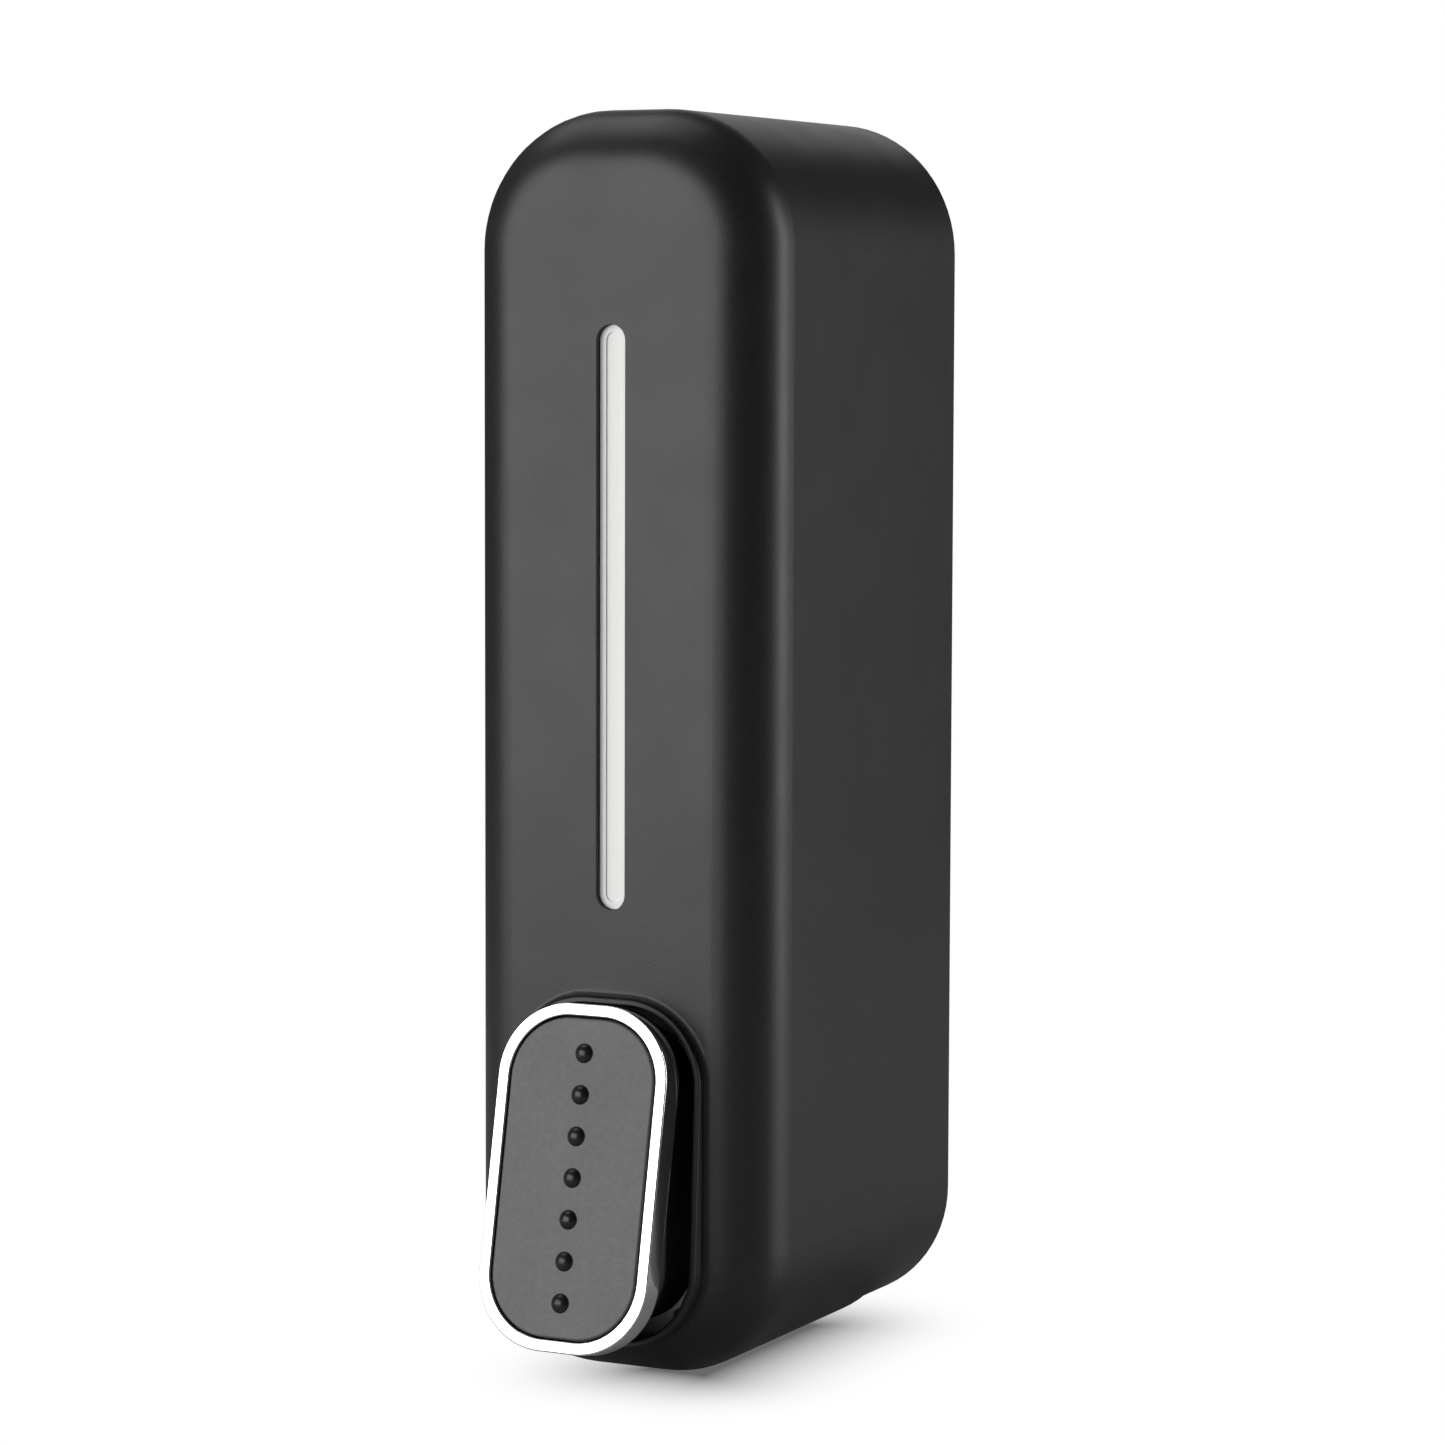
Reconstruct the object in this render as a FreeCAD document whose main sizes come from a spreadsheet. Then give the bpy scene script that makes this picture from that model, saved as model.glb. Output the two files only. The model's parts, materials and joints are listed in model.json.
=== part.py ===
import FreeCAD, Part
import math
import os
import Sketcher

# Wall mounted soap dispenser.
# Frame: origin at the centre of the four wall screw holes, on the wall plane.
# +X is to the right when facing the dispenser, +Y goes into the wall, +Z is up.
# The cover's front face is at y = -depth, its bottom at z = -height / 2.

SIZES = (
    # cover
    ("height", 205.0), ("width", 55.0), ("depth", 74.0), ("wall", 2.4),
    ("top_corner", 22.5), ("bottom_corner", 21.0), ("front_round", 10.5), ("rear_gap", 0.5),
    ("relief_length", 19.0), ("relief_rise", 0.6), ("relief_aside", 3.0), ("relief_deep", 5.0),
    # how far cutting tools overshoot, how deep joined pieces run into each other, loose fits
    ("over", 1.0), ("root", 0.5), ("fit_gap", 0.1),
    # level window
    ("slot_width", 5.25), ("slot_low", 76.4), ("slot_high", 170.6), ("lens_recess", 1.2),
    ("lens_gap", 0.1), ("lens_flange", 2.0), ("flange_thick", 1.2), ("frame_thick", 1.6),
    ("frame_margin", 1.2), ("lens_rim", 1.1), ("lens_sink", 0.25),
    # push button
    ("button_tilt", 11.6), ("button_up", 34.93), ("button_stand", 12.87), ("ring_width", 30.4),
    ("ring_height", 55.6), ("ring_corner", 12.1), ("ring_face", 1.95), ("ring_inner_corner", 10.4),
    ("ring_deep", 5.0), ("ring_edge", 0.25), ("ring_rear_edge", 0.9),
    ("pad_gap", 0.35), ("pad_edge", 0.35), ("pad_thick", 2.28), ("pad_sink", 0.12),
    ("stud_pitch", 6.64), ("stud_radius", 1.55), ("stud_rise", 0.9), ("stud_gap", 0.04),
    ("skirt_gap", 0.15), ("skirt_end", 3.0), ("skirt_lower", 0.88), ("skirt_round", 1.7),
    ("skirt_wall", 1.6), ("skirt_rear", 4.0), ("plate_behind", 2.0), ("flange_inset", 0.75),
    ("button_flange", 1.0), ("post_size", 8.0), ("post_reach", 3.7), ("push_gap", 0.3),
    ("skirt_reach", 24.0), ("post_ahead", 9.0), ("pin_end", 0.5),
    # collar round the button
    ("opening_gap", 1.0), ("opening_trim", 1.55), ("opening_round", 0.35),
    ("opening_lower", 0.705), ("rim_width", 1.1), ("rim_rise_top", 1.5), ("rim_rise_low", 4.4),
    ("rim_edge", 0.35), ("rim_blend", 1.05),
    # button pivot
    ("pivot_drop", 2.25), ("pivot_in", 5.0), ("pivot_radius", 1.0), ("run_gap", 0.06),
    ("lug_overlap", 1.5), ("lug_width", 3.5), ("lug_size", 7.0), ("bridge_gap", 0.9),
    ("bridge_rear", 8.0), ("bridge_size", 6.4), ("side_gap", 0.6),
    ("lug_root", 0.4),
    # cover hinge
    ("hinge_back", 8.0), ("hinge_up", 5.0), ("knuckle_radius", 3.4), ("pin_radius", 1.5),
    ("centre_knuckle", 14.0), ("knuckle_gap", 0.25), ("knuckle_length", 5.5),
    ("notch_front", 14.0), ("hinge_pin_end", 0.3), ("hinge_neck_root", 2.0),
    # wall plate
    ("plate_thick", 2.5), ("plate_clear", 0.7), ("plate_low", 20.0), ("plate_top", 5.6),
    ("plate_low_corner", 4.0), ("screw_span_across", 32.0), ("screw_span_up", 140.0),
    ("screw_hole", 2.25),
    # shelf under the tank
    ("shelf_up", 59.0), ("shelf_thick", 3.0), ("shelf_width", 40.0), ("shelf_front", 18.0),
    ("gusset_thick", 2.5), ("gusset_drop", 20.0), ("gusset_front", 30.0),
    # soap tank
    ("tank_width", 43.0), ("tank_front", 12.0), ("tank_headroom", 32.0), ("tank_wall", 1.6),
    ("tank_rear", 7.5), ("tank_corner", 8.0), ("tank_edge", 4.0), ("rib_width", 7.2),
    ("rib_reach", 5.5), ("rib_low", 74.0), ("rib_high", 172.6), ("neck_radius", 10.5), ("neck_wall", 2.0),
    ("neck_rise", 5.5), ("neck_back", 36.0), ("spout_radius", 4.2), ("spout_bore", 2.8),
    ("spout_drop", 7.0), ("spout_gap", 0.3), ("cap_wall", 2.0), ("cap_gap", 0.3),
    ("cap_drop", 4.5), ("cap_seal_thick", 0.8), ("cap_grips", 12),
    ("grip_radius", 0.8), ("grip_in", 0.2),
    # pump
    ("pump_back", 41.0), ("pump_up", 30.0), ("barrel_bore", 8.0),
    ("barrel_front", 20.0), ("barrel_end", 50.5), ("barrel_wall", 2.5), ("bush_flange", 2.0),
    ("bush_plug", 3.0), ("tower_radius", 7.6), ("socket_radius", 6.2), ("socket_deep", 6.0),
    ("seat_thick", 1.6), ("seat_bore", 1.8), ("valve_bore", 3.6), ("valve_room", 8.0),
    ("ball_radius", 2.6), ("ball_gap", 0.08), ("outlet_radius", 6.5), ("outlet_low", 8.0),
    ("pump_flange_margin", 3.5), ("pump_flange_thick", 3.0),
    ("pump_screw_across", 25.0), ("pump_screw_along", 16.0), ("screw_radius", 1.5),
    ("screw_head_radius", 2.8), ("screw_head_height", 2.0), ("screw_grip", 2.2), ("drive_radius", 1.05),
    ("outlet_seat_drop", 1.5), ("plug_length", 2.2), ("seal_up", 2.2), ("seal_height", 2.2),
    # plunger
    ("head_radius", 6.5), ("head_length", 3.0), ("head_crown", 1.0), ("head_tip_radius", 2.5),
    ("rod_radius", 3.0), ("piston_front", 26.0), ("piston_length", 5.0), ("piston_step", 0.7),
    ("groove_depth", 1.3), ("groove_length", 2.0), ("piston_gap", 0.06),
    ("spring_radius", 4.8), ("spring_wire", 0.5), ("spring_turns", 5.0), ("spring_gap", 0.05),
    ("valve_spring_radius", 2.2), ("valve_wire", 0.25), ("valve_turns", 4.0),
    # nozzle
    ("nozzle_radius", 6.0), ("nozzle_low", 4.4), ("tip_radius", 4.2), ("tip_low", 1.6),
    ("tip_bore", 1.2), ("nozzle_gap", 2.5), ("outlet_plate_side", 3.0),
    ("outlet_plate_front", 16.0), ("outlet_plate_margin", 1.0), ("outlet_plate_corner", 4.0),
    ("outlet_room", 9.0), ("outlet_gap", 0.15),    ("tongue_width", 9.0), ("tongue_reach", 2.5), ("tongue_thick", 1.4),
    # key lock in the cover's top
    ("lock_back", 54.0), ("lock_flange", 7.3), ("lock_sink", 0.15), ("lock_flange_thick", 1.0),
    ("lock_barrel", 5.5), ("lock_low", 13.0), ("cylinder_radius", 3.2), ("cylinder_sink", 0.2),
    ("nut_radius", 8.0), ("nut_gap", 0.5), ("nut_thick", 2.6), ("cam_gap", 0.3),
    ("cam_thick", 2.0), ("cam_hub", 4.5), ("cam_arm", 5.0), ("hook_gap", 0.45),
    ("hook_thick", 1.8), ("hook_span", 28.0), ("tail_radius", 2.2), ("key_slot_width", 1.2),
    ("key_slot_length", 4.4), ("key_slot_deep", 3.0), ("strike_width", 4.0), ("strike_gap", 0.7),
    ("strike_ahead", 8.0), ("strike_thick", 3.0), ("strike_floor_gap", 3.5),
    ("strike_shelf_thick", 4.5), ("strike_rise", 4.5), ("cam_thread", 4.0),
    ("cam_screw_radius", 1.0), ("cam_screw_grip", 3.5), ("cam_head_radius", 3.2),
    ("cam_head_thick", 1.2),
    # clip that holds the tank
    ("clip_width", 16.0), ("clip_thick", 1.2), ("clip_reach", 11.5), ("clip_rise", 10.0),
    ("clip_screw_span", 8.0), ("clip_screw_up", 6.0), ("clip_gap", 0.1), ("clip_screw_grip", 2.0),
)

FRONT = "-dim.depth"

# Sizes that follow from the driving ones, as expressions.
OPENING_HALF_WIDTH = "(dim.ring_width / 2 + dim.opening_gap)"
OPENING_HALF_HEIGHT = "((dim.ring_height - dim.opening_trim) / 2)"
OPENING_UP = "(-dim.height / 2 + dim.button_up - dim.opening_lower)"
PIVOT_UP = "(%s + %s - dim.pivot_drop)" % (OPENING_UP, OPENING_HALF_HEIGHT)
LUG_INNER = "(%s - dim.lug_overlap)" % OPENING_HALF_WIDTH
BARREL_RADIUS = "(dim.barrel_bore + dim.barrel_wall)"
PISTON_RADIUS = "(dim.barrel_bore - dim.piston_step)"
CAP_RADIUS = "(dim.neck_radius + dim.cap_gap + dim.cap_wall)"
TANK_FRONT = "(-dim.depth + dim.tank_front)"
TANK_TOP = "(dim.height / 2 - dim.tank_headroom)"
NECK_TOP = "(%s + dim.neck_rise)" % TANK_TOP
CLIP_SCREW_UP = "(%s + dim.clip_screw_up)" % TANK_TOP
OUTLET_HOLE = "(dim.nozzle_radius + dim.nozzle_gap)"
OUTLET_PLATE_HALF = "(%s + dim.outlet_plate_side)" % OUTLET_HOLE
OUTLET_PLATE_REAR = "(-dim.relief_length - dim.outlet_plate_margin)"
LOCK_LOW = "(dim.height / 2 - dim.lock_low)"
STRIKE_NEAR = "(dim.cam_arm / 2 + dim.strike_gap)"
STRIKE_FAR = "(%s + dim.strike_width)" % STRIKE_NEAR
HOOK_INNER = "(sqrt(%s ^ 2 + (dim.strike_ahead + dim.strike_thick) ^ 2) + dim.hook_gap)" % STRIKE_FAR

doc = FreeCAD.newDocument("soap_dispenser")
dim = doc.addObject("Spreadsheet::Sheet", "dim")
for row, (alias, size) in enumerate(SIZES, 1):
    dim.set("A%d" % row, alias)
    dim.set("B%d" % row, str(size))
    dim.setAlias("B%d" % row, alias)
doc.recompute()

nodes = []


def up(size):
    """Height of something measured from the cover's bottom."""
    return "(-dim.height / 2 + dim.%s)" % size


def back(size):
    """Place of something measured inwards from the cover's front face."""
    return "(-dim.depth + dim.%s)" % size


def value(expression):
    return float(dim.evalExpression(expression.replace("dim.", "")))


def bind(target, name, expression):
    target.setExpression(name, expression)


def place(item, across, along, rise, turn_axis=None, turn=0.0):
    """Put an object at three expressions, turned about one axis."""
    axis = FreeCAD.Vector(*(turn_axis or (0, 0, 1)))
    item.Placement = FreeCAD.Placement(FreeCAD.Vector(), FreeCAD.Rotation(axis, turn))
    bind(item, ".Placement.Base.x", across)
    bind(item, ".Placement.Base.y", along)
    bind(item, ".Placement.Base.z", rise)
    return item


# ---------------------------------------------------------------- sketches
def sketch_on(body, role, offset="0"):
    """A sketch on one of the body's origin planes, moved along its normal."""
    sketch = body.newObject("Sketcher::SketchObject", body.Name + "_sketch")
    plane = [item for item in body.Origin.OriginFeatures if item.Role == role][0]
    sketch.AttachmentSupport = [(plane, "")]
    sketch.MapMode = "FlatFace"
    bind(sketch, ".AttachmentOffset.Base.z", offset)
    return sketch


def tie(sketch, kind, expression, *where):
    index = sketch.addConstraint(Sketcher.Constraint(kind, *where, value(expression)))
    sketch.setExpression("Constraints[%d]" % index, expression)


def tie_point(sketch, geometry, point, across, rise):
    tie(sketch, "DistanceX", across, -1, 1, geometry, point)
    tie(sketch, "DistanceY", rise, -1, 1, geometry, point)


def draw_circle(sketch, across, rise, radius):
    centre = FreeCAD.Vector(value(across), value(rise), 0)
    circle = sketch.addGeometry(Part.Circle(centre, FreeCAD.Vector(0, 0, 1), value(radius)), False)
    tie_point(sketch, circle, 3, across, rise)
    tie(sketch, "Radius", radius, circle)


def draw_polygon(sketch, corners):
    """Closed straight-sided outline through pairs of expressions."""
    points = [FreeCAD.Vector(value(across), value(rise), 0) for across, rise in corners]
    lines = [
        sketch.addGeometry(Part.LineSegment(points[index - 1], points[index]), False)
        for index in range(len(points))
    ]
    for index, line in enumerate(lines):
        sketch.addConstraint(Sketcher.Constraint("Coincident", lines[index - 1], 2, line, 1))
        tie_point(sketch, line, 2, *corners[index])


def draw_outline(sketch, left, right, low, high, low_radius, high_radius=None):
    """Rectangle with round corners; the low and high pairs may differ."""
    high_radius = high_radius or low_radius
    x0, x1, y0, y1 = (value(side) for side in (left, right, low, high))
    r0, r1 = value(low_radius), value(high_radius)
    vector = FreeCAD.Vector
    ends = (
        (vector(x0 + r0, y0, 0), vector(x1 - r0, y0, 0)),
        (vector(x1, y0 + r0, 0), vector(x1, y1 - r1, 0)),
        (vector(x1 - r1, y1, 0), vector(x0 + r1, y1, 0)),
        (vector(x0, y1 - r1, 0), vector(x0, y0 + r0, 0)),
    )
    corners = (
        (vector(x1 - r0, y0 + r0, 0), r0, -0.5),
        (vector(x1 - r1, y1 - r1, 0), r1, 0.0),
        (vector(x0 + r1, y1 - r1, 0), r1, 0.5),
        (vector(x0 + r0, y0 + r0, 0), r0, 1.0),
    )
    lines = [sketch.addGeometry(Part.LineSegment(*pair), False) for pair in ends]
    arcs = []
    for centre, radius, start in corners:
        circle = Part.Circle(centre, vector(0, 0, 1), radius)
        arc = Part.ArcOfCircle(circle, start * math.pi, (start + 0.5) * math.pi)
        arcs.append(sketch.addGeometry(arc, False))
    for index in range(4):
        sketch.addConstraint(Sketcher.Constraint("Tangent", lines[index], 2, arcs[index], 1))
        sketch.addConstraint(
            Sketcher.Constraint("Tangent", arcs[index], 2, lines[(index + 1) % 4], 1))
        kind = "Horizontal" if index % 2 == 0 else "Vertical"
        sketch.addConstraint(Sketcher.Constraint(kind, lines[index]))
    for arc, radius in zip(arcs, (low_radius, high_radius, high_radius, low_radius)):
        tie(sketch, "Radius", radius, arc)
    tie(sketch, "DistanceY", low, -1, 1, lines[0], 1)
    tie(sketch, "DistanceX", right, -1, 1, lines[1], 1)
    tie(sketch, "DistanceY", high, -1, 1, lines[2], 1)
    tie(sketch, "DistanceX", left, -1, 1, lines[3], 1)


def draw_slot(sketch, across, low, high, radius):
    """Upright slot with half-round ends; low and high are its two ends."""
    x, r = value(across), value(radius)
    y0, y1 = value(low) + r, value(high) - r
    vector = FreeCAD.Vector
    normal = vector(0, 0, 1)
    right = sketch.addGeometry(Part.LineSegment(vector(x + r, y0, 0), vector(x + r, y1, 0)), False)
    left = sketch.addGeometry(Part.LineSegment(vector(x - r, y1, 0), vector(x - r, y0, 0)), False)
    top = sketch.addGeometry(
        Part.ArcOfCircle(Part.Circle(vector(x, y1, 0), normal, r), 0, math.pi), False)
    bottom = sketch.addGeometry(
        Part.ArcOfCircle(Part.Circle(vector(x, y0, 0), normal, r), math.pi, 2 * math.pi), False)
    for first, second in ((right, top), (top, left), (left, bottom), (bottom, right)):
        sketch.addConstraint(Sketcher.Constraint("Tangent", first, 2, second, 1))
    sketch.addConstraint(Sketcher.Constraint("Equal", top, bottom))
    tie(sketch, "Radius", radius, top)
    tie_point(sketch, top, 3, across, "%s - %s" % (high, radius))
    tie_point(sketch, bottom, 3, across, "%s + %s" % (low, radius))


# ---------------------------------------------------------------- features
def new_body(name):
    return doc.addObject("PartDesign::Body", name)


def pad(body, sketch, length, backwards=False, both_ways=False):
    feature = body.newObject("PartDesign::Pad", body.Name + "_pad")
    feature.Profile = sketch
    feature.Reversed = backwards
    feature.Midplane = both_ways
    bind(feature, "Length", length)
    doc.recompute()
    return feature


def pocket(body, sketch, length, backwards=False, both_ways=False):
    """Cut that has to take something away."""
    before = body.Shape.Volume
    feature = body.newObject("PartDesign::Pocket", body.Name + "_pocket")
    feature.Profile = sketch
    feature.Reversed = backwards
    feature.Midplane = both_ways
    bind(feature, "Length", length)
    doc.recompute()
    if body.Shape.Volume > before - 1e-3:
        raise RuntimeError("%s cuts nothing" % feature.Name)
    return feature


def hollow_out(body, tool):
    """Take one body out of another."""
    feature = body.newObject("PartDesign::Boolean", body.Name + "_hollow")
    feature.Type = "Cut"
    feature.setObjects([tool])
    doc.recompute()
    return feature


def edges_where(shape, test):
    return ["Edge%d" % index for index, edge in enumerate(shape.Edges, 1) if test(edge)]


def round_edges(body, radius, test):
    tip = body.Tip
    names = edges_where(tip.Shape, test)
    if not names:
        raise RuntimeError("no edge to round on %s" % body.Name)
    feature = body.newObject("PartDesign::Fillet", body.Name + "_fillet")
    feature.Base = (tip, names)
    bind(feature, "Radius", radius)
    doc.recompute()
    return feature


def flat_at(edge, axis, level, tolerance=1e-4):
    """True for an edge that lies in the plane where axis equals level."""
    box = edge.BoundBox
    low, high = (getattr(box, axis + end) for end in ("Min", "Max"))
    return abs(low - level) < tolerance and abs(high - level) < tolerance


def prism(name, role, offset, length, outline, backwards=False):
    """Body: one outline on one origin plane, padded to a length."""
    body = new_body(name)
    sketch = sketch_on(body, role, offset)
    outline(sketch)
    pad(body, sketch, length, backwards)
    return body


def box(name, x0, x1, y0, y1, z0, z1):
    item = doc.addObject("Part::Box", name)
    place(item, x0, y0, z0)
    bind(item, "Length", "(%s) - (%s)" % (x1, x0))
    bind(item, "Width", "(%s) - (%s)" % (y1, y0))
    bind(item, "Height", "(%s) - (%s)" % (z1, z0))
    return item


TURNS = {"X": ((0, 1, 0), 90.0), "Y": ((1, 0, 0), -90.0), "Z": ((0, 0, 1), 0.0)}


def rod(name, axis, across, along, rise, radius, length):
    """Cylinder that starts at a point and runs along an axis."""
    item = doc.addObject("Part::Cylinder", name)
    place(item, across, along, rise, *TURNS[axis])
    bind(item, "Radius", radius)
    bind(item, "Height", length)
    return item


def upright(name, along, low, high, radius, across="0"):
    return rod(name, "Z", across, along, low, radius, "(%s) - (%s)" % (high, low))


def level(name, front, rear, rise, radius, across="0"):
    return rod(name, "Y", across, front, rise, radius, "(%s) - (%s)" % (rear, front))


def ball(name, along, rise, radius):
    item = doc.addObject("Part::Sphere", name)
    place(item, "0", along, rise)
    bind(item, "Radius", radius)
    return item


def join(name, *parts):
    item = doc.addObject("Part::MultiFuse", name)
    item.Shapes = list(parts)
    item.Refine = True
    doc.recompute()
    return item


def cut(name, base, *tools):
    """Base with the tools taken out of it."""
    tool = tools[0] if len(tools) == 1 else join(name + "_tools", *tools)
    item = doc.addObject("Part::Cut", name)
    item.Base = base
    item.Tool = tool
    item.Refine = True
    doc.recompute()
    return item


def common(name, first, second):
    item = doc.addObject("Part::MultiCommon", name)
    item.Shapes = [first, second]
    item.Refine = True
    doc.recompute()
    return item


def group(name, parts):
    item = doc.addObject("Part::Compound", name)
    item.Links = list(parts)
    return item


def node(item, label):
    item.Label = label
    nodes.append(item)
    return item


def coil(name, along, low, height, radius, wire, turns, axis="Z"):
    """Open helical spring that starts at a point and runs along an axis."""
    helix = doc.addObject("Part::Helix", name + "_line")
    bind(helix, "Radius", radius)
    bind(helix, "Height", height)
    bind(helix, "Pitch", "(%s) / (%s)" % (height, turns))
    ring = doc.addObject("Part::Circle", name + "_wire")
    bind(ring, "Radius", wire)
    place(ring, radius, "0", "0", (1, 0, 0), 90.0)
    sweep = doc.addObject("Part::Sweep", name)
    sweep.Sections = [ring]
    sweep.Spine = (helix, ["Edge1"])
    sweep.Solid = True
    sweep.Frenet = True
    place(sweep, "0", along, low, *TURNS[axis])
    doc.recompute()
    return sweep


# ---------------------------------------------------------------- cover
def side_to_side(size):
    return "-dim.%s / 2" % size, "dim.%s / 2" % size


def cover_outline(inset="0"):
    """Outline of the cover, seen from the front, drawn in by an inset."""
    def draw(sketch):
        draw_outline(
            sketch,
            "-dim.width / 2 + %s" % inset, "dim.width / 2 - %s" % inset,
            "-dim.height / 2 + %s" % inset, "dim.height / 2 - %s" % inset,
            "dim.bottom_corner - %s" % inset, "dim.top_corner - %s" % inset)
    return draw


def opening_outline(margin="0"):
    """Outline of the hole for the button, grown by a margin."""
    def draw(sketch):
        draw_outline(
            sketch,
            "-%s - %s" % (OPENING_HALF_WIDTH, margin), "%s + %s" % (OPENING_HALF_WIDTH, margin),
            "%s - %s - %s" % (OPENING_UP, OPENING_HALF_HEIGHT, margin),
            "%s + %s + %s" % (OPENING_UP, OPENING_HALF_HEIGHT, margin),
            "dim.ring_corner + dim.opening_round + %s" % margin)
    return draw


def make_housing():
    body = new_body("housing_body")
    outer = sketch_on(body, "XZ_Plane", "dim.rear_gap")
    cover_outline()(outer)
    pad(body, outer, "dim.depth - dim.rear_gap")
    front = value(FRONT)
    round_edges(body, "dim.front_round", lambda edge: flat_at(edge, "Y", front))
    cavity = prism("housing_room", "XZ_Plane", "-dim.over", "dim.depth + dim.over - dim.wall",
                   cover_outline("dim.wall"))
    inside = value(back("wall"))
    round_edges(cavity, "dim.front_round - dim.wall", lambda edge: flat_at(edge, "Y", inside))
    hollow_out(body, cavity)
    cut_relief(body)
    add_collar(body)
    add_hinge_knuckles(body)
    add_pivot_lugs(body)
    slot = sketch_on(body, "XZ_Plane", "dim.depth + dim.over")
    draw_slot(slot, "0", up("slot_low"), up("slot_high"), "dim.slot_width / 2")
    pocket(body, slot, "dim.wall + 2 * dim.over")
    outlet = sketch_on(body, "XY_Plane", "-dim.height / 2 - dim.over")
    draw_outline(
        outlet, "-" + OUTLET_PLATE_HALF, OUTLET_PLATE_HALF, back("outlet_plate_front"),
        OUTLET_PLATE_REAR, "dim.outlet_plate_corner")
    pocket(body, outlet, "dim.wall + 2 * dim.over", backwards=True)
    seat = "dim.over + dim.lock_sink + dim.lock_flange_thick"
    for radius, length in (("dim.lock_barrel + dim.fit_gap", "dim.wall + 2 * dim.over"),
                           ("dim.lock_flange + dim.fit_gap", seat)):
        lock = sketch_on(body, "XY_Plane", "dim.height / 2 + dim.over")
        draw_circle(lock, "0", back("lock_back"), radius)
        pocket(body, lock, length)
    return node(body, "housing")


def cut_relief(body):
    """Shallow step under the rear of the cover, where the hinge is."""
    sketch = sketch_on(body, "XZ_Plane", "dim.relief_length")
    half, low = "dim.width / 2", "(-dim.height / 2 + dim.relief_rise)"
    radius = "dim.bottom_corner"
    x, r, z = value(half), value(radius), value(low)
    vector = FreeCAD.Vector
    normal = vector(0, 0, 1)
    aside, deep = value("dim.relief_aside"), value("dim.relief_deep")
    corners = (vector(-x, z + r, 0), vector(-x - aside, z + r, 0),
               vector(-x - aside, z - deep, 0), vector(x + aside, z - deep, 0),
               vector(x + aside, z + r, 0), vector(x, z + r, 0))
    lines = [
        sketch.addGeometry(Part.LineSegment(first, second), False)
        for first, second in zip(corners, corners[1:])
    ]
    right = sketch.addGeometry(Part.ArcOfCircle(
        Part.Circle(vector(x - r, z + r, 0), normal, r), 1.5 * math.pi, 2 * math.pi), False)
    floor = sketch.addGeometry(
        Part.LineSegment(vector(x - r, z, 0), vector(r - x, z, 0)), False)
    left = sketch.addGeometry(Part.ArcOfCircle(
        Part.Circle(vector(r - x, z + r, 0), normal, r), math.pi, 1.5 * math.pi), False)
    for first, second in zip(lines, lines[1:]):
        sketch.addConstraint(Sketcher.Constraint("Coincident", first, 2, second, 1))
    sketch.addConstraint(Sketcher.Constraint("Coincident", lines[-1], 2, right, 2))
    sketch.addConstraint(Sketcher.Constraint("Tangent", right, 1, floor, 1))
    sketch.addConstraint(Sketcher.Constraint("Tangent", floor, 2, left, 2))
    sketch.addConstraint(Sketcher.Constraint("Coincident", left, 1, lines[0], 1))
    shoulder = "%s + %s" % (low, radius)
    tie_point(sketch, lines[0], 2, "-%s - dim.relief_aside" % half, shoulder)
    tie_point(sketch, lines[1], 2, "-%s - dim.relief_aside" % half, "%s - dim.relief_deep" % low)
    tie_point(sketch, lines[2], 2, "%s + dim.relief_aside" % half, "%s - dim.relief_deep" % low)
    tie_point(sketch, lines[3], 2, "%s + dim.relief_aside" % half, shoulder)
    tie_point(sketch, right, 3, "%s - %s" % (half, radius), shoulder)
    tie_point(sketch, left, 3, "%s - %s" % (radius, half), shoulder)
    tie(sketch, "Radius", radius, right)
    tie(sketch, "Radius", radius, left)
    pocket(body, sketch, "dim.relief_length")


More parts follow.
